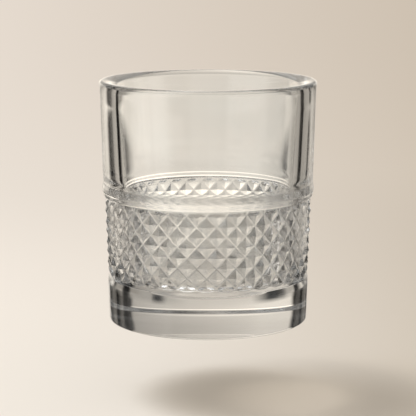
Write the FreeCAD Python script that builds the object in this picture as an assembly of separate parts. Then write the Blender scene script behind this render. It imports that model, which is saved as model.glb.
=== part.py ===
import FreeCAD, Part
import math
import os

# A pressed-glass whiskey tumbler. It is one piece of glass, so it is one solid.
# Millimetres, +Z up. The origin is the centre of the foot, on the plane the tumbler stands on.

# Overall size
HEIGHT = 91.5
RIM_RADIUS = 41.0
RIM_ROUND = 1.1            # rounding of the rim's outer edge

# Foot and solid glass base
PUNT_DEPTH = 1.2           # hollow under the foot, at its centre
FOOT_INNER_RADIUS = 32.8   # contact ring, inner edge
HEEL_RADIUS = 1.0          # rounding between the foot and the base's side
BASE_FOOT_RADIUS = 37.8
BASE_TOP_RADIUS = 38.25
BASE_TOP_Z = 14.4          # the shoulder starts to round over here
SHOULDER_RADIUS = 38.3     # corner that the shoulder's curve heads for
SHOULDER_Z = 17.2

# Band of pointed diamonds
BAND_BOTTOM_Z = 18.0
BAND_BOTTOM_RADIUS = 37.6  # seam between the base and the band
BAND_LOW_Z = 21.5
BAND_LOW_RADIUS = 38.45    # over the points, at the foot of the band
BAND_HIGH_Z = 44.9
BAND_HIGH_RADIUS = 39.25   # over the points, at the head of the band
BAND_TOP_Z = 47.3
NECK_RADIUS = 38.0
BAND_EDGE_BULGE = 0.22     # how far the band's rounded edges stand out from a straight chamfer
DIAMONDS_AROUND = 33
DIAMOND_HALF_HEIGHT = 3.845
DIAMOND_DEPTH = 1.25       # from the points down to the valleys between them
FIRST_LEVEL_Z = 15.08      # lowest level of the lattice, below the band
LATTICE_LEVELS = 10
LATTICE_TURN = -0.8        # degrees, from the front of the tumbler to the nearest crossing

# Ledge above the band
NECK_FILLET_Z = 47.5       # where the groove over the band turns outward
LEDGE_FOOT_RADIUS = 39.3   # under the ledge
LEDGE_FOOT_Z = 47.6
LEDGE_CURL_RADIUS = 39.85  # corner that the ledge's rounded foot heads for
LEDGE_CURL_Z = 48.0
LEDGE_LOW_RADIUS = 39.95
LEDGE_LOW_Z = 49.3
LEDGE_RADIUS = 40.25
LEDGE_Z = 50.5
LEDGE_TOP_Z = 54.0         # the ledge blends into the wall here

# Upper wall
WALL_FOOT_RADIUS = 39.88
WALL_HEAD_RADIUS = 40.7
WALL_HEAD_Z = 86.5

# Inside, from the lip down
LIP_REACH = 3.4            # how strongly the lip keeps level, heading inward
LIP_DROP = 0.9             # how strongly it comes straight down into the bore
BORE_HEAD_RADIUS = 34.45
BORE_HEAD_Z = 89.5
STEP_HIGH_RADIUS = 32.14   # small step round the bore, level with the neck
STEP_HIGH_Z = 47.2
STEP_LOW_RADIUS = 31.85
STEP_LOW_Z = 46.6
BORE_FOOT_RADIUS = 31.6
BORE_CORNER = 9.0
FLOOR_Z = 13.0


def point(radius, z):
    """A point of a profile, in the plane y = 0."""
    return FreeCAD.Vector(radius, 0, z)


def line(start, end):
    return Part.makeLine(start, end)


def arc(start, middle, end):
    return Part.Arc(start, middle, end).toShape()


def curve(*poles):
    """A smooth curve from the first pole to the last that heads for the ones between."""
    bezier = Part.BezierCurve()
    bezier.setPoles(list(poles))
    return bezier.toShape()


def bulged(start, end, bulge):
    """An arc from start to end whose middle stands bulge to the right of the chord, seen along it."""
    chord = end - start
    side = FreeCAD.Vector(chord.z, 0, -chord.x).normalize()
    middle = (start + end) * 0.5 + side * bulge
    return arc(start, middle, end)


def turned(edges):
    """The solid swept by a closed profile round the Z axis."""
    face = Part.Face(Part.Wire(edges))
    return face.revolve(FreeCAD.Vector(0, 0, 0), FreeCAD.Vector(0, 0, 1), 360)


def foot_and_base():
    """The solid glass base, up to the seam under the band."""
    heel_start = BASE_FOOT_RADIUS - HEEL_RADIUS
    diagonal = HEEL_RADIUS * math.sqrt(0.5)
    punt_top = point(0, PUNT_DEPTH)
    foot_inner = point(FOOT_INNER_RADIUS, 0)
    foot_outer = point(heel_start, 0)
    heel_middle = point(heel_start + diagonal, HEEL_RADIUS - diagonal)
    heel_top = point(BASE_FOOT_RADIUS, HEEL_RADIUS)
    side_top = point(BASE_TOP_RADIUS, BASE_TOP_Z)
    shoulder = point(SHOULDER_RADIUS, SHOULDER_Z)
    seam = point(BAND_BOTTOM_RADIUS, BAND_BOTTOM_Z)
    return turned([
        curve(punt_top, point(FOOT_INNER_RADIUS / 2, PUNT_DEPTH), foot_inner),
        line(foot_inner, foot_outer),
        arc(foot_outer, heel_middle, heel_top),
        line(heel_top, side_top),
        curve(side_top, shoulder, seam),
        line(seam, point(0, BAND_BOTTOM_Z)),
        line(point(0, BAND_BOTTOM_Z), punt_top),
    ])


def band_blank():
    """The band before its diamonds: the round envelope over their points."""
    seam = point(BAND_BOTTOM_RADIUS, BAND_BOTTOM_Z)
    low = point(BAND_LOW_RADIUS, BAND_LOW_Z)
    high = point(BAND_HIGH_RADIUS, BAND_HIGH_Z)
    neck = point(NECK_RADIUS, BAND_TOP_Z)
    return turned([
        line(point(0, BAND_BOTTOM_Z), seam),
        bulged(seam, low, BAND_EDGE_BULGE),
        line(low, high),
        bulged(high, neck, BAND_EDGE_BULGE),
        line(neck, point(0, BAND_TOP_Z)),
        line(point(0, BAND_TOP_Z), point(0, BAND_BOTTOM_Z)),
    ])


def peak_radius(z):
    """Radius over the diamonds' points at height z."""
    slope = (BAND_HIGH_RADIUS - BAND_LOW_RADIUS) / (BAND_HIGH_Z - BAND_LOW_Z)
    return BAND_LOW_RADIUS + slope * (z - BAND_LOW_Z)


def lattice_point(column, level):
    """A corner of the diamond lattice. Columns are half a diamond apart. Points and crossings alternate."""
    z = FIRST_LEVEL_Z + level * DIAMOND_HALF_HEIGHT
    is_crossing = (column + level) % 2 == 0
    radius = peak_radius(z)
    if is_crossing:
        radius -= DIAMOND_DEPTH
    angle = math.radians(LATTICE_TURN - 90 + column * 180 / DIAMONDS_AROUND)
    return FreeCAD.Vector(radius * math.cos(angle), radius * math.sin(angle), z)


def triangle(a, b, c):
    return Part.Face(Part.makePolygon([a, b, c, a]))


def diamond_drum():
    """A closed drum whose side is all pyramids, four facets to a diamond. Valleys join the crossings."""
    columns = 2 * DIAMONDS_AROUND
    faces = []
    for level in range(LATTICE_LEVELS - 1):
        for column in range(columns):
            near = lattice_point(column, level)
            next_one = lattice_point(column + 1, level)
            above = lattice_point(column, level + 1)
            above_next = lattice_point(column + 1, level + 1)
            if (column + level) % 2 == 0:
                faces.append(triangle(near, next_one, above_next))
                faces.append(triangle(near, above_next, above))
            else:
                faces.append(triangle(near, next_one, above))
                faces.append(triangle(next_one, above_next, above))
    for level in (0, LATTICE_LEVELS - 1):
        ring = [lattice_point(column, level) for column in range(columns + 1)]
        ring[-1] = ring[0]
        faces.append(Part.Face(Part.makePolygon(ring)))
    return Part.Solid(Part.makeShell(faces))


def ledge_and_wall():
    """From the neck above the band, over the ledge, up the wall to the top of the rounded rim."""
    diagonal = RIM_ROUND * math.sqrt(0.5)
    rim_z = HEIGHT - RIM_ROUND
    neck = point(NECK_RADIUS, BAND_TOP_Z)
    fillet = point(NECK_RADIUS, NECK_FILLET_Z)
    ledge_foot = point(LEDGE_FOOT_RADIUS, LEDGE_FOOT_Z)
    ledge_curl = point(LEDGE_CURL_RADIUS, LEDGE_CURL_Z)
    ledge_low = point(LEDGE_LOW_RADIUS, LEDGE_LOW_Z)
    ledge_turn = point(LEDGE_RADIUS, (LEDGE_LOW_Z + LEDGE_Z) / 2)
    ledge = point(LEDGE_RADIUS, LEDGE_Z)
    blend_z = (LEDGE_Z + LEDGE_TOP_Z) / 2
    wall_foot = point(WALL_FOOT_RADIUS, LEDGE_TOP_Z)
    wall_head = point(WALL_HEAD_RADIUS, WALL_HEAD_Z)
    rim_outer = point(RIM_RADIUS, rim_z)
    rim_middle = point(RIM_RADIUS - RIM_ROUND + diagonal, rim_z + diagonal)
    rim_top = point(RIM_RADIUS - RIM_ROUND, HEIGHT)
    return turned([
        curve(neck, fillet, ledge_foot),
        curve(ledge_foot, ledge_curl, ledge_low),
        curve(ledge_low, ledge_turn, ledge),
        curve(ledge, point(LEDGE_RADIUS, blend_z), point(WALL_FOOT_RADIUS, blend_z), wall_foot),
        line(wall_foot, wall_head),
        line(wall_head, rim_outer),
        arc(rim_outer, rim_middle, rim_top),
        line(rim_top, point(0, HEIGHT)),
        line(point(0, HEIGHT), point(0, BAND_TOP_Z)),
        line(point(0, BAND_TOP_Z), neck),
    ])


def cavity():
    """The space for the drink: a rounded lip, a tapered bore with a small step, a rounded foot, a flat floor."""
    rim_top = point(RIM_RADIUS - RIM_ROUND, HEIGHT)
    over_rim = point(rim_top.x, HEIGHT + RIM_ROUND)
    over_centre = point(0, over_rim.z)
    lip_high = point(rim_top.x - LIP_REACH, HEIGHT)
    lip_low = point(BORE_HEAD_RADIUS, BORE_HEAD_Z + LIP_DROP)
    bore_head = point(BORE_HEAD_RADIUS, BORE_HEAD_Z)
    step_high = point(STEP_HIGH_RADIUS, STEP_HIGH_Z)
    step_low = point(STEP_LOW_RADIUS, STEP_LOW_Z)
    floor_edge = BORE_FOOT_RADIUS - BORE_CORNER
    diagonal = BORE_CORNER * math.sqrt(0.5)
    bore_foot = point(BORE_FOOT_RADIUS, FLOOR_Z + BORE_CORNER)
    corner_middle = point(floor_edge + diagonal, FLOOR_Z + BORE_CORNER - diagonal)
    corner_end = point(floor_edge, FLOOR_Z)
    floor_centre = point(0, FLOOR_Z)
    return turned([
        line(over_centre, over_rim),
        line(over_rim, rim_top),
        curve(rim_top, lip_high, lip_low, bore_head),
        line(bore_head, step_high),
        line(step_high, step_low),
        line(step_low, bore_foot),
        arc(bore_foot, corner_middle, corner_end),
        line(corner_end, floor_centre),
        line(floor_centre, over_centre),
    ])


def tumbler():
    band = band_blank().common(diamond_drum())
    outside = foot_and_base().fuse([band, ledge_and_wall()])
    return outside.cut(cavity()).removeSplitter()


os.makedirs("parts", exist_ok=True)
body = tumbler().Solids[0]
body.exportStep("parts/tumbler.step")
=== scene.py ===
import math

import bpy
import numpy as np
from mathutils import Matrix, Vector


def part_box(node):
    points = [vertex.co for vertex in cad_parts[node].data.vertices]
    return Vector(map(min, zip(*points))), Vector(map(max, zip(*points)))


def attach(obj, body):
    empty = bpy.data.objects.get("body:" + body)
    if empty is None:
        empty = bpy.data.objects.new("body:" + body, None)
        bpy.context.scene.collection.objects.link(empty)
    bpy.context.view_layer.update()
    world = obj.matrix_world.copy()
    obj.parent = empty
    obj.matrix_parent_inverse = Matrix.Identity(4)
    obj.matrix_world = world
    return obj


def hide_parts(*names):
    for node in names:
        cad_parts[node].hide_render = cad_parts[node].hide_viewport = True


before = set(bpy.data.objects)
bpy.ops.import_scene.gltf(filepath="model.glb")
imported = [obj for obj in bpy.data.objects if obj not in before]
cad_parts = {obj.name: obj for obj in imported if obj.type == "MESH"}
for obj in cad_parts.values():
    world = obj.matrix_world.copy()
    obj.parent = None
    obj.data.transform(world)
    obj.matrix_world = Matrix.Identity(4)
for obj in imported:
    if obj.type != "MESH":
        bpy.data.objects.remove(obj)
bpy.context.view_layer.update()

MM = 0.001                 # metres in a millimetre

# ---------------------------------------------------------------------------
# Shape of the tumbler, in millimetres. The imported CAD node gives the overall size.
# ---------------------------------------------------------------------------
NODE_LOW, NODE_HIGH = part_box("tumbler")
SKIN = 0.01                # how far the rim stays inside the CAD's box
HEIGHT = NODE_HIGH.z / MM
RIM_RADIUS = NODE_HIGH.x / MM - SKIN
RIM_ROUND = 1.1            # rounding of the rim's outer edge

# Foot and solid base
PUNT_DEPTH = 1.2           # hollow under the foot, at its centre
FOOT_INNER_RADIUS = 32.8   # contact ring, inner edge
FOOT_EDGE_IN = 0.3         # the ring's inner edge is softened this far inward
FOOT_EDGE_LIFT = 0.03
FOOT_EDGE_OUT = 0.15       # and this far outward
HEEL_RADIUS = 1.0          # rounding between the foot and the base's side
BASE_FOOT_RADIUS = 37.8
BASE_TOP_RADIUS = 38.25
BASE_TOP_Z = 14.4
SHOULDER_RADIUS = 38.3     # corner that the shoulder's curve heads for
SHOULDER_Z = 17.2

# Band of pointed diamonds
BAND_BOTTOM_Z = 18.0
BAND_BOTTOM_RADIUS = 37.6  # seam between the base and the band
BAND_LOW_Z = 21.5
BAND_LOW_RADIUS = 38.45    # over the points, at the foot of the band
BAND_HIGH_Z = 44.9
BAND_HIGH_RADIUS = 39.25   # over the points, at the head of the band
BAND_TOP_Z = 47.3
NECK_RADIUS = 38.0
SEAM_GAP = 0.05            # the diamonds' rows keep this far from the band's ends
DIAMONDS_AROUND = 33
DIAMOND_HALF_HEIGHT = 3.845
DIAMOND_DEPTH = 1.25       # from the points down to the valleys between them
VALLEY_FLOOR = 0.09        # share of the depth lost to the flattened floor of a valley
FIRST_LEVEL_Z = 15.08      # lowest level of the lattice
LATTICE_TURN = -0.8        # degrees, from the front of the tumbler to the nearest crossing

# Groove, ledge and upper wall
NECK_FILLET_Z = 47.5       # where the groove over the band turns outward
LEDGE_FOOT_RADIUS = 39.3
LEDGE_FOOT_Z = 47.6
LEDGE_CURL_RADIUS = 39.85  # corner that the ledge's rounded foot heads for
LEDGE_CURL_Z = 48.0
LEDGE_LOW_RADIUS = 39.95
LEDGE_LOW_Z = 49.3
LEDGE_RADIUS = 40.25
LEDGE_Z = 50.5
LEDGE_TOP_Z = 54.0         # the ledge blends into the wall here
WALL_FOOT_RADIUS = 39.88
WALL_HEAD_RADIUS = 40.7
WALL_HEAD_Z = 86.5

# Inside, from the lip down
LIP_REACH = 3.4            # how strongly the lip keeps level, heading inward
LIP_DROP = 0.9             # how strongly it comes straight down into the bore
BORE_HEAD_RADIUS = 34.45
BORE_HEAD_Z = 89.5
STEP_HIGH_RADIUS = 32.14   # small step round the bore, level with the neck
STEP_HIGH_Z = 47.2
STEP_LOW_RADIUS = 31.85
STEP_LOW_Z = 46.6
BORE_FOOT_RADIUS = 31.6
BORE_CORNER = 9.0
FLOOR_Z = 13.0

# Fineness of the mesh
COLUMNS_PER_DIAMOND = 16
ROWS_PER_HALF_DIAMOND = 8
PUNT_STEPS = 10
COLUMNS = DIAMONDS_AROUND * COLUMNS_PER_DIAMOND
HERE = np.arange(COLUMNS)
NEXT = (HERE + 1) % COLUMNS
COLUMN_TURN = 2 * math.pi / COLUMNS
FRONT_CROSSING = math.radians(LATTICE_TURN - 90)
ANGLES = FRONT_CROSSING + HERE * COLUMN_TURN

# Glass
GLASS_IOR = 1.5
GLASS_COOL = (0.975, 0.985, 0.982, 1)
GLASS_WARM = (0.995, 0.990, 0.982, 1)
MELT_SCALE = 60.0          # patches of the faint tint
MELT_LOW = 0.3
MELT_HIGH = 0.7
GLASS_ABSORPTION = 3.0     # per metre of glass
BORE_HAZE = 0.17           # roughness inside, behind the diamonds
HAZE_RADIUS = 33.0         # the haze keeps within this radius, in millimetres,
HAZE_FOOT_Z = 12.0         # starts over this height,
HAZE_FULL_Z = 50.0         # fades from here
HAZE_TOP_Z = 57.0          # and is gone here
SHADOW_TINT = (0.90, 0.88, 0.85, 1)

# ---------------------------------------------------------------------------
# Studio round the glass, as (azimuth in degrees, brightness on display from 0 to 255).
# Azimuth 0 is straight ahead of the camera and grows to the right.
# Both tables began as a least-squares fit to the photo. Many stops were then changed.
# Narrow strips and flags stand level with the glass. They draw the streaks in its wall.
# ---------------------------------------------------------------------------
STRIPS = [
    (-180, 195),
    (-140, 195),
    (-134, 255),
    (-82, 255),
    (-72, 135),
    (-67, 135),
    (-62, 255),
    (-53, 5),
    (-49, 5),
    (-47, 185),
    (-40, 165),
    (-36, 70),
    (-33, 70),
    (-31, 5),
    (-26, 5),
    (-22, 150),
    (-17, 216),
    (7, 206),
    (16, 175),
    (19, 20),
    (22, 20),
    (24, 160),
    (38, 150),
    (40, 15),
    (46, 15),
    (48, 150),
    (56, 170),
    (62, 10),
    (67, 217),
    (72, 255),
    (153, 215),
]
STRIP_GAIN = 1.2
STRIP_LOW = -30.0          # the strips' lower and upper ends, in degrees above the horizon
STRIP_HIGH = -11.2
STRIP_SOFTNESS = 1.0

# Broad panels and flags fill the studio above and below the strips.
PANELS = [
    (-180, 150),
    (-158, 150),
    (-150, 240),
    (-102, 240),
    (-92, 118),
    (-80, 40),
    (-47, 40),
    (-43, 232),
    (-22, 236),
    (-14, 226),
    (0, 212),
    (12, 200),
    (25, 182),
    (35, 168),
    (38, 20),
    (58, 25),
    (62, 90),
    (68, 90),
    (72, 30),
    (77, 197),
    (86, 197),
    (92, 60),
    (98, 200),
    (118, 200),
    (126, 60),
    (150, 60),
    (162, 150),
]
PANEL_GAIN = 1.45

# The panels' brightness by height, as (degrees above the horizon, factor).
HEIGHT_AHEAD = [
    (-90, 0.9),
    (-60, 0.9),
    (-45, 0.62),
    (-30, 0.58),
    (-22, 0.95),
    (-12, 0.87),
    (-7, 0.77),
    (-4, 1.55),
    (4, 1.55),
    (8, 0.72),
    (22, 0.62),
    (40, 0.8),
    (90, 0.9),
]
HEIGHT_BEHIND = [
    (-90, 1.3),
    (-20, 1.2),
    (0, 1.0),
    (20, 0.6),
    (40, 0.5),
    (90, 0.6),
]
AHEAD_TO = 60              # azimuths where what is ahead gives way to what is behind
BEHIND_FROM = 100
GLOW_AHEAD = (1.0, 0.915, 0.80, 1)
GLOW_BEHIND = (1.0, 0.99, 0.96, 1)
WORLD_LIGHT = 0.5          # even light on the paper

# Pale paper behind and below, as display colours at the corners of the picture. The fall from the bright
# lower left to the darker upper right is painted light falloff from the key light on the left.
TOP_LEFT = (229, 218, 206)
TOP_RIGHT = (206, 193, 177)
FOOT_LEFT = (241, 233, 222)
FOOT_RIGHT = (219, 208, 193)
FOOT_LEFT_TO = 0.35        # share of the width that stays as bright as the lower left corner
RISE = 1.15                # the top's colours are reached a little under the top edge
RISE_SOFTNESS = 0.3
PAPER = 0.8
FLOOR_DROP = 0.030         # the tumbler floats this far over the floor, in metres
FLOOR_SIZE = 12.0
FADE_NEAR = 0.15           # the floor fades into the backdrop between these distances
FADE_FAR = 0.6

# Key light and camera, in metres
KEY_PLACE = (-0.58, 0.14, 1.20)
KEY_SIZE = 0.72
KEY_POWER = 16.6
CAMERA_PLACE = (0, -0.651, 0.158)
CAMERA_PITCH = 10.07       # degrees, looking down
CAMERA_LENS = 150          # millimetres, as is the sensor
CAMERA_SENSOR = 36

# How often light may pass through glass, bounce off it, and pass on to the floor.
GLASS_BOUNCES = 24
MIRROR_BOUNCES = 12
SHADOW_BOUNCES = 16


# ---------------------------------------------------------------------------
# Outline of the tumbler, as points (radius, z)
# ---------------------------------------------------------------------------
def curve(steps, *poles):
    """A curve between two poles that heads for those in between, without its first point."""
    points = []
    for i in range(1, steps + 1):
        share = i / steps
        row = [np.array(pole, float) for pole in poles]
        while len(row) > 1:
            row = [a + (b - a) * share for a, b in zip(row, row[1:])]
        points.append(tuple(row[0]))
    return points


def arc(steps, centre, radius, start, end):
    """Part of a circle between two angles in degrees, without its first point."""
    points = []
    for i in range(1, steps + 1):
        angle = math.radians(start + (end - start) * i / steps)
        points.append((centre[0] + radius * math.cos(angle), centre[1] + radius * math.sin(angle)))
    return points


def foot_outline():
    """From the centre of the hollow under the foot to the seam under the band."""
    points = [(0.0, PUNT_DEPTH)]
    for i in range(1, PUNT_STEPS):
        share = i / PUNT_STEPS
        points.append((FOOT_INNER_RADIUS * share, PUNT_DEPTH * (1 - share ** 2)))
    ring_inner = (FOOT_INNER_RADIUS + FOOT_EDGE_OUT, 0.0)
    ring_outer = (BASE_FOOT_RADIUS - HEEL_RADIUS, 0.0)
    heel_centre = (BASE_FOOT_RADIUS - HEEL_RADIUS, HEEL_RADIUS)
    heel_top = (BASE_FOOT_RADIUS, HEEL_RADIUS)
    side_top = (BASE_TOP_RADIUS, BASE_TOP_Z)
    shoulder = (SHOULDER_RADIUS, SHOULDER_Z)
    seam = (BAND_BOTTOM_RADIUS, BAND_BOTTOM_Z)
    points.append((FOOT_INNER_RADIUS - FOOT_EDGE_IN, FOOT_EDGE_LIFT))
    points.append(ring_inner)
    points += curve(2, ring_inner, ring_outer)
    points += arc(6, heel_centre, HEEL_RADIUS, -90, 0)
    points += curve(4, heel_top, side_top)
    points += curve(8, side_top, shoulder, seam)
    return points


def peak_radius(z):
    """Radius over the diamonds' points at height z."""
    slope = (BAND_HIGH_RADIUS - BAND_LOW_RADIUS) / (BAND_HIGH_Z - BAND_LOW_Z)
    return BAND_LOW_RADIUS + slope * (z - BAND_LOW_Z)


def envelope(z):
    """Radius of the band before its diamonds, with both ends rounded off."""
    if z < BAND_LOW_Z:
        share = (z - BAND_BOTTOM_Z) / (BAND_LOW_Z - BAND_BOTTOM_Z)
        rise = BAND_LOW_RADIUS - BAND_BOTTOM_RADIUS
        return BAND_BOTTOM_RADIUS + rise * math.sin(share * math.pi / 2)
    if z > BAND_HIGH_Z:
        share = (BAND_TOP_Z - z) / (BAND_TOP_Z - BAND_HIGH_Z)
        rise = BAND_HIGH_RADIUS - NECK_RADIUS
        return NECK_RADIUS + rise * math.sin(share * math.pi / 2)
    return peak_radius(z)


def band_outline():
    """The envelope of the band, with rows that meet every point and crossing of the diamonds."""
    step = DIAMOND_HALF_HEIGHT / ROWS_PER_HALF_DIAMOND
    first = math.ceil((BAND_BOTTOM_Z + SEAM_GAP - FIRST_LEVEL_Z) / step)
    last = math.floor((BAND_TOP_Z - SEAM_GAP - FIRST_LEVEL_Z) / step)
    heights = [FIRST_LEVEL_Z + row * step for row in range(first, last + 1)]
    return [(envelope(z), z) for z in heights]


def ledge_outline():
    """From the neck over the band, round the ledge to the foot of the wall."""
    neck = (NECK_RADIUS, BAND_TOP_Z)
    fillet = (NECK_RADIUS, NECK_FILLET_Z)
    ledge_foot = (LEDGE_FOOT_RADIUS, LEDGE_FOOT_Z)
    ledge_curl = (LEDGE_CURL_RADIUS, LEDGE_CURL_Z)
    ledge_low = (LEDGE_LOW_RADIUS, LEDGE_LOW_Z)
    ledge_turn = (LEDGE_RADIUS, (LEDGE_LOW_Z + LEDGE_Z) / 2)
    ledge = (LEDGE_RADIUS, LEDGE_Z)
    blend_z = (LEDGE_Z + LEDGE_TOP_Z) / 2
    wall_foot = (WALL_FOOT_RADIUS, LEDGE_TOP_Z)
    points = [neck]
    points += curve(4, neck, fillet, ledge_foot)
    points += curve(7, ledge_foot, ledge_curl, ledge_low)
    points += curve(6, ledge_low, ledge_turn, ledge)
    points += curve(8, ledge, (LEDGE_RADIUS, blend_z), (WALL_FOOT_RADIUS, blend_z), wall_foot)
    return points


def wall_outline():
    """Up the outside of the wall and round the rim's outer edge to its top."""
    rim_z = HEIGHT - RIM_ROUND
    wall_foot = (WALL_FOOT_RADIUS, LEDGE_TOP_Z)
    wall_head = (WALL_HEAD_RADIUS, WALL_HEAD_Z)
    points = curve(6, wall_foot, wall_head)
    points += curve(2, wall_head, (RIM_RADIUS, rim_z))
    points += arc(8, (RIM_RADIUS - RIM_ROUND, rim_z), RIM_ROUND, 0, 90)
    return points


def cavity_outline():
    """From the rim's top over the lip, down the bore and across the floor to its centre."""
    rim_top = (RIM_RADIUS - RIM_ROUND, HEIGHT)
    lip_high = (rim_top[0] - LIP_REACH, HEIGHT)
    lip_low = (BORE_HEAD_RADIUS, BORE_HEAD_Z + LIP_DROP)
    bore_head = (BORE_HEAD_RADIUS, BORE_HEAD_Z)
    step_high = (STEP_HIGH_RADIUS, STEP_HIGH_Z)
    step_low = (STEP_LOW_RADIUS, STEP_LOW_Z)
    bore_foot = (BORE_FOOT_RADIUS, FLOOR_Z + BORE_CORNER)
    corner_centre = (BORE_FOOT_RADIUS - BORE_CORNER, FLOOR_Z + BORE_CORNER)
    floor_edge = (corner_centre[0], FLOOR_Z)
    points = curve(12, rim_top, lip_high, lip_low, bore_head)
    points += curve(6, bore_head, step_high)
    points += curve(2, step_high, step_low)
    points += curve(4, step_low, bore_foot)
    points += arc(14, corner_centre, BORE_CORNER, 0, -90)
    points += curve(5, floor_edge, (0.0, FLOOR_Z))
    return points


# ---------------------------------------------------------------------------
# Mesh of the tumbler
# ---------------------------------------------------------------------------
def valley_distances(angle, z):
    """How far the nearest rising and falling valleys are: 0 in the valley, 1/2 halfway to the next."""
    across = (angle - FRONT_CROSSING) / (math.pi / DIAMONDS_AROUND)
    up = (z - FIRST_LEVEL_Z) / DIAMOND_HALF_HEIGHT
    rising = (across - up) / 2
    falling = (across + up) / 2
    return np.abs(rising - np.round(rising)), np.abs(falling - np.round(falling))


def ring(radius, z, in_band):
    """The mesh points of one ring. In the band the ring dips into the valleys."""
    reach = np.full(COLUMNS, radius)
    if in_band:
        nearest = 2 * np.minimum(*valley_distances(ANGLES, z))
        depth = DIAMOND_DEPTH * (1 - np.maximum(nearest, VALLEY_FLOOR))
        reach = np.minimum(reach, peak_radius(z) - depth)
    return np.stack([reach * np.cos(ANGLES), reach * np.sin(ANGLES), np.full(COLUMNS, z)], 1)


def strip(lower, falling):
    """Two triangles a column between a ring and the next, split along the falling diagonal where told."""
    a = lower * COLUMNS + HERE
    b = lower * COLUMNS + NEXT
    c = b + COLUMNS
    d = a + COLUMNS
    one = np.where(falling, [a, b, d], [a, b, c]).T
    other = np.where(falling, [b, c, d], [a, c, d]).T
    return [one, other]


def tumbler_mesh():
    """All the glass as one closed mesh: flat facets in the band, smooth glass elsewhere."""
    below = foot_outline()
    band = band_outline()
    above = ledge_outline() + wall_outline() + cavity_outline()
    low_pole = below.pop(0)
    high_pole = above.pop()
    outline = below + band + above
    band_start = len(below)
    band_end = band_start + len(band) - 1
    rings = [ring(radius, z, band_start <= i <= band_end) for i, (radius, z) in enumerate(outline)]
    triangles = []
    smooth = []
    for i in range(len(outline) - 1):
        faceted = band_start <= i < band_end
        middle_z = (outline[i][1] + outline[i + 1][1]) / 2
        to_rising, to_falling = valley_distances(ANGLES + COLUMN_TURN / 2, middle_z)
        triangles += strip(i, faceted & (to_falling < to_rising))
        smooth += [not faceted] * (2 * COLUMNS)
    low = len(outline) * COLUMNS
    high = low + 1
    last = (len(outline) - 1) * COLUMNS
    triangles.append(np.stack([np.full(COLUMNS, low), NEXT, HERE], 1))
    triangles.append(np.stack([np.full(COLUMNS, high), last + HERE, last + NEXT], 1))
    smooth += [True] * (2 * COLUMNS)
    rings.append([[0, 0, low_pole[1]], [0, 0, high_pole[1]]])
    points = np.concatenate(rings) * MM
    mesh = bpy.data.meshes.new("tumbler_glass")
    mesh.from_pydata(points.tolist(), [], np.concatenate(triangles).tolist())
    mesh.polygons.foreach_set("use_smooth", smooth)
    return mesh


def placed(name, data):
    """A new object in the scene."""
    made = bpy.data.objects.new(name, data)
    bpy.context.scene.collection.objects.link(made)
    return made


def build_tumbler():
    mesh = tumbler_mesh()
    mesh.materials.append(glass_material())
    tumbler = placed("tumbler_glass", mesh)
    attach(tumbler, "root")
    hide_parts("tumbler")


# ---------------------------------------------------------------------------
# Node helpers
# ---------------------------------------------------------------------------
def feed(tree, socket, value):
    """Set a node's input, from a value or from another node's output."""
    if isinstance(value, bpy.types.NodeSocket):
        tree.links.new(value, socket)
    else:
        socket.default_value = value


def node(tree, kind, **inputs):
    """A new node with its inputs set by name."""
    made = tree.nodes.new(kind)
    for name, value in inputs.items():
        feed(tree, made.inputs[name.replace("_", " ")], value)
    return made


def maths(tree, operation, *values):
    """Output of a math node."""
    made = tree.nodes.new("ShaderNodeMath")
    made.operation = operation
    for socket, value in zip(made.inputs, values):
        feed(tree, socket, value)
    return made.outputs[0]


def product(tree, *factors):
    """Output of a chain of multiplications."""
    total = factors[0]
    for factor in factors[1:]:
        total = maths(tree, "MULTIPLY", total, factor)
    return total


def mixed(tree, blend, share, a, b):
    """Colour output of a mix node."""
    made = tree.nodes.new("ShaderNodeMix")
    made.data_type = "RGBA"
    made.blend_type = blend
    factor, colour_a, colour_b = made.inputs[0], made.inputs[6], made.inputs[7]
    feed(tree, factor, share)
    feed(tree, colour_a, a)
    feed(tree, colour_b, b)
    return made.outputs[2]


def ramp(tree, share, stops):
    """Colour output of a ramp through (position, colour) stops."""
    made = node(tree, "ShaderNodeValToRGB", Fac=share)
    elements = made.color_ramp.elements
    for i, (position, colour) in enumerate(stops):
        element = elements[i] if i < 2 else elements.new(position)
        element.position = position
        element.color = colour
    return made.outputs[0]


def vector_maths(tree, operation, vector):
    made = tree.nodes.new("ShaderNodeVectorMath")
    made.operation = operation
    feed(tree, made.inputs[0], vector)
    return made


def parts_of(tree, vector):
    """The x, y and z outputs of a vector."""
    return node(tree, "ShaderNodeSeparateXYZ", Vector=vector).outputs


def either(tree, share, a, b):
    """Output of one shader mixed with another."""
    made = tree.nodes.new("ShaderNodeMixShader")
    feed(tree, made.inputs[0], share)
    feed(tree, made.inputs[1], a)
    feed(tree, made.inputs[2], b)
    return made.outputs[0]


def new_material(name):
    """An empty material and its node tree."""
    material = bpy.data.materials.new(name)
    material.use_nodes = True
    material.node_tree.nodes.clear()
    return material, material.node_tree


def linear(value):
    """Linear light from a display value, 0 to 255."""
    value = value / 255
    return value / 12.92 if value <= 0.04045 else ((value + 0.055) / 1.055) ** 2.4


def shown(*values):
    """Node colour from three display values, or a grey from one."""
    red, green, blue = values if len(values) == 3 else values * 3
    return (linear(red), linear(green), linear(blue), 1.0)


# ---------------------------------------------------------------------------
# Glass
# ---------------------------------------------------------------------------
def bore_haze(tree, place):
    """Roughness of the glass: none, but for the floor of the cavity and the bore behind the diamonds."""
    x, y, z = parts_of(tree, place)
    squares = maths(tree, "ADD", product(tree, x, x), product(tree, y, y))
    inside = maths(tree, "LESS_THAN", maths(tree, "SQRT", squares), HAZE_RADIUS * MM)
    over_floor = maths(tree, "GREATER_THAN", z, HAZE_FOOT_Z * MM)
    fading = node(tree, "ShaderNodeMapRange", Value=z, From_Min=HAZE_TOP_Z * MM, From_Max=HAZE_FULL_Z * MM)
    fading.interpolation_type = "SMOOTHSTEP"
    return product(tree, inside, over_floor, fading.outputs[0], BORE_HAZE)


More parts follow.
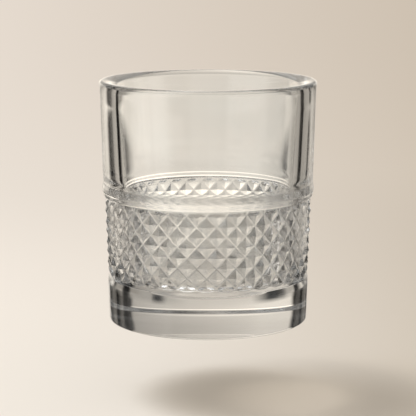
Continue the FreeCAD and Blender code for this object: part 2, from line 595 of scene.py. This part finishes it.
def glass_tint(tree, place):
    """A hardly visible unevenness of the melt."""
    melt = node(tree, "ShaderNodeTexNoise", Vector=place, Scale=MELT_SCALE)
    return ramp(tree, melt.outputs["Fac"], [(MELT_LOW, GLASS_COOL), (MELT_HIGH, GLASS_WARM)])


def glass_material():
    """Clear glass. Light on its way to the floor passes straight through, dimmed a little."""
    material, tree = new_material("clear_glass")
    place = tree.nodes.new("ShaderNodeTexCoord").outputs["Object"]
    glass = node(
        tree,
        "ShaderNodeBsdfPrincipled",
        Base_Color=glass_tint(tree, place),
        Roughness=bore_haze(tree, place),
        IOR=GLASS_IOR,
        Transmission_Weight=1.0,
    )
    dimmed = node(tree, "ShaderNodeBsdfTransparent", Color=SHADOW_TINT)
    is_shadow = tree.nodes.new("ShaderNodeLightPath").outputs["Is Shadow Ray"]
    surface = either(tree, is_shadow, glass.outputs[0], dimmed.outputs[0])
    depth = node(tree, "ShaderNodeVolumeAbsorption", Color=(0, 0, 0, 1), Density=GLASS_ABSORPTION)
    node(tree, "ShaderNodeOutputMaterial", Surface=surface, Volume=depth.outputs[0])
    return material


# ---------------------------------------------------------------------------
# Studio
# ---------------------------------------------------------------------------
def backdrop_with_painted_falloff(tree):
    """The paper's brightness over the picture, with painted light falloff: warm white at the lower left,
    where the light falls, beige at the upper right.
    """
    window = tree.nodes.new("ShaderNodeTexCoord").outputs["Window"]
    across, up, _ = parts_of(tree, window)
    # Painted light falloff: lighter towards the lower left, darker towards the upper right.
    top = ramp(tree, across, [(0.0, shown(*TOP_LEFT)), (1.0, shown(*TOP_RIGHT))])
    foot_stops = [
        (0.0, shown(*FOOT_LEFT)),
        (FOOT_LEFT_TO, shown(*FOOT_LEFT)),
        (1.0, shown(*FOOT_RIGHT)),
    ]
    foot = ramp(tree, across, foot_stops)
    share = maths(tree, "SMOOTH_MIN", product(tree, up, RISE), 1.0, RISE_SOFTNESS)
    return mixed(tree, "MIX", share, foot, top)


def between(tree, value, start, end):
    """0 to 1 as an angle goes from start to end, in degrees."""
    start = math.radians(start)
    end = math.radians(end)
    return node(tree, "ShaderNodeMapRange", Value=value, From_Min=start, From_Max=end).outputs[0]


def level_directions(tree):
    """How far a ray goes right, up and ahead: level with the ground, turned with the camera."""
    seen = tree.nodes.new("ShaderNodeTexCoord").outputs["Camera"]
    turned = node(tree, "ShaderNodeVectorRotate", Vector=seen, Angle=math.radians(CAMERA_PITCH))
    turned.rotation_type = "X_AXIS"
    return parts_of(tree, vector_maths(tree, "NORMALIZE", turned.outputs[0]).outputs[0])


def share_behind(tree, azimuth):
    """0 ahead of the camera, 1 behind it."""
    return between(tree, maths(tree, "ABSOLUTE", azimuth), AHEAD_TO, BEHIND_FROM)


def ring_of_light(tree, azimuth, stops, gain):
    """Colour round the studio through (azimuth, brightness) stops."""
    share = maths(tree, "MULTIPLY_ADD", azimuth, 1 / (2 * math.pi), 0.5)
    around = ramp(tree, share, [((turn + 180) / 360, shown(light)) for turn, light in stops])
    tint = mixed(tree, "MIX", share_behind(tree, azimuth), GLOW_AHEAD, GLOW_BEHIND)
    lit = mixed(tree, "MULTIPLY", 1.0, around, tint)
    return mixed(tree, "MULTIPLY", 1.0, lit, (gain, gain, gain, 1))


def by_height(tree, height, stops):
    """Grey that follows (height, factor) stops."""
    share = maths(tree, "MULTIPLY_ADD", height, 1 / math.pi, 0.5)
    return ramp(tree, share, [((turn + 90) / 180, (factor, factor, factor, 1)) for turn, factor in stops])


def studio_colour(tree):
    """What the glass sees: strips level with it, panels above and below."""
    right, up, ahead = level_directions(tree)
    azimuth = maths(tree, "ARCTAN2", right, ahead)
    height = maths(tree, "ARCSINE", up)
    panel_height = mixed(
        tree,
        "MIX",
        share_behind(tree, azimuth),
        by_height(tree, height, HEIGHT_AHEAD),
        by_height(tree, height, HEIGHT_BEHIND),
    )
    strips = ring_of_light(tree, azimuth, STRIPS, STRIP_GAIN)
    panels = ring_of_light(tree, azimuth, PANELS, PANEL_GAIN)
    panels = mixed(tree, "MULTIPLY", 1.0, panels, panel_height)
    over_low = between(tree, height, STRIP_LOW - STRIP_SOFTNESS, STRIP_LOW)
    under_high = between(tree, height, STRIP_HIGH + STRIP_SOFTNESS, STRIP_HIGH)
    return mixed(tree, "MIX", product(tree, over_low, under_high), panels, strips)


def build_world():
    """The studio: the glass sees softboxes and flags, the camera sees pale paper with painted light
    falloff.
    """
    world = bpy.data.worlds.new("studio")
    bpy.context.scene.world = world
    world.use_nodes = True
    tree = world.node_tree
    tree.nodes.clear()
    path = tree.nodes.new("ShaderNodeLightPath")
    even = (WORLD_LIGHT, WORLD_LIGHT, WORLD_LIGHT, 1)
    seen = mixed(tree, "MIX", path.outputs["Is Camera Ray"], studio_colour(tree), backdrop_with_painted_falloff(tree))
    seen = mixed(tree, "MIX", path.outputs["Is Diffuse Ray"], seen, even)
    shine = node(tree, "ShaderNodeBackground", Color=seen)
    node(tree, "ShaderNodeOutputWorld", Surface=shine.outputs[0])


def floor_material():
    """Pale paper that takes the shadow and fades into the backdrop with distance. Its colour carries
    painted light falloff, and far off it glows with that colour instead of being lit.
    """
    material, tree = new_material("pale_paper")
    # The paper's colour carries the backdrop's painted light falloff.
    colour = backdrop_with_painted_falloff(tree)
    paper = mixed(tree, "MULTIPLY", 1.0, colour, (PAPER, PAPER, PAPER, 1))
    lit = node(tree, "ShaderNodeBsdfDiffuse", Color=paper)
    # Painted light: far off, the paper glows with the backdrop's colour instead of being lit.
    glow = node(tree, "ShaderNodeEmission", Color=colour)
    place = tree.nodes.new("ShaderNodeTexCoord").outputs["Object"]
    distance = vector_maths(tree, "LENGTH", place).outputs["Value"]
    fade = node(tree, "ShaderNodeMapRange", Value=distance, From_Min=FADE_NEAR, From_Max=FADE_FAR)
    fade.interpolation_type = "SMOOTHSTEP"
    surface = either(tree, fade.outputs[0], lit.outputs[0], glow.outputs[0])
    node(tree, "ShaderNodeOutputMaterial", Surface=surface)
    return material


def build_floor():
    """A sheet of paper under the tumbler. The glass doesn't see it; it sees the studio instead."""
    half = FLOOR_SIZE / 2
    corners = [(-half, -half, 0), (half, -half, 0), (half, half, 0), (-half, half, 0)]
    mesh = bpy.data.meshes.new("floor")
    mesh.from_pydata(corners, [], [(0, 1, 2, 3)])
    mesh.materials.append(floor_material())
    sheet = placed("floor", mesh)
    sheet.location.z = -FLOOR_DROP
    sheet.visible_transmission = False
    sheet.visible_glossy = False
    sheet.visible_diffuse = False


def build_key_light():
    """One soft overhead light that gives the floor its shadow."""
    data = bpy.data.lights.new("key", "AREA")
    data.shape = "DISK"
    data.size = KEY_SIZE
    data.energy = KEY_POWER
    lamp = placed("key", data)
    lamp.location = KEY_PLACE
    lamp.rotation_euler = (-Vector(KEY_PLACE)).to_track_quat("-Z", "Y").to_euler()
    lamp.visible_camera = False
    lamp.visible_glossy = False
    lamp.visible_transmission = False


def build_camera():
    data = bpy.data.cameras.new("camera")
    data.lens = CAMERA_LENS
    data.sensor_width = CAMERA_SENSOR
    camera = placed("camera", data)
    camera.location = CAMERA_PLACE
    camera.rotation_euler = (math.radians(90 - CAMERA_PITCH), 0, 0)
    bpy.context.scene.camera = camera


def set_light_paths():
    """Enough bounces for light to find its way out of the diamonds."""
    scene = bpy.context.scene
    scene.view_settings.view_transform = "Standard"
    scene.cycles.max_bounces = GLASS_BOUNCES
    scene.cycles.transmission_bounces = GLASS_BOUNCES
    scene.cycles.glossy_bounces = MIRROR_BOUNCES
    scene.cycles.transparent_max_bounces = SHADOW_BOUNCES


build_tumbler()
build_world()
build_floor()
build_key_light()
build_camera()
set_light_paths()
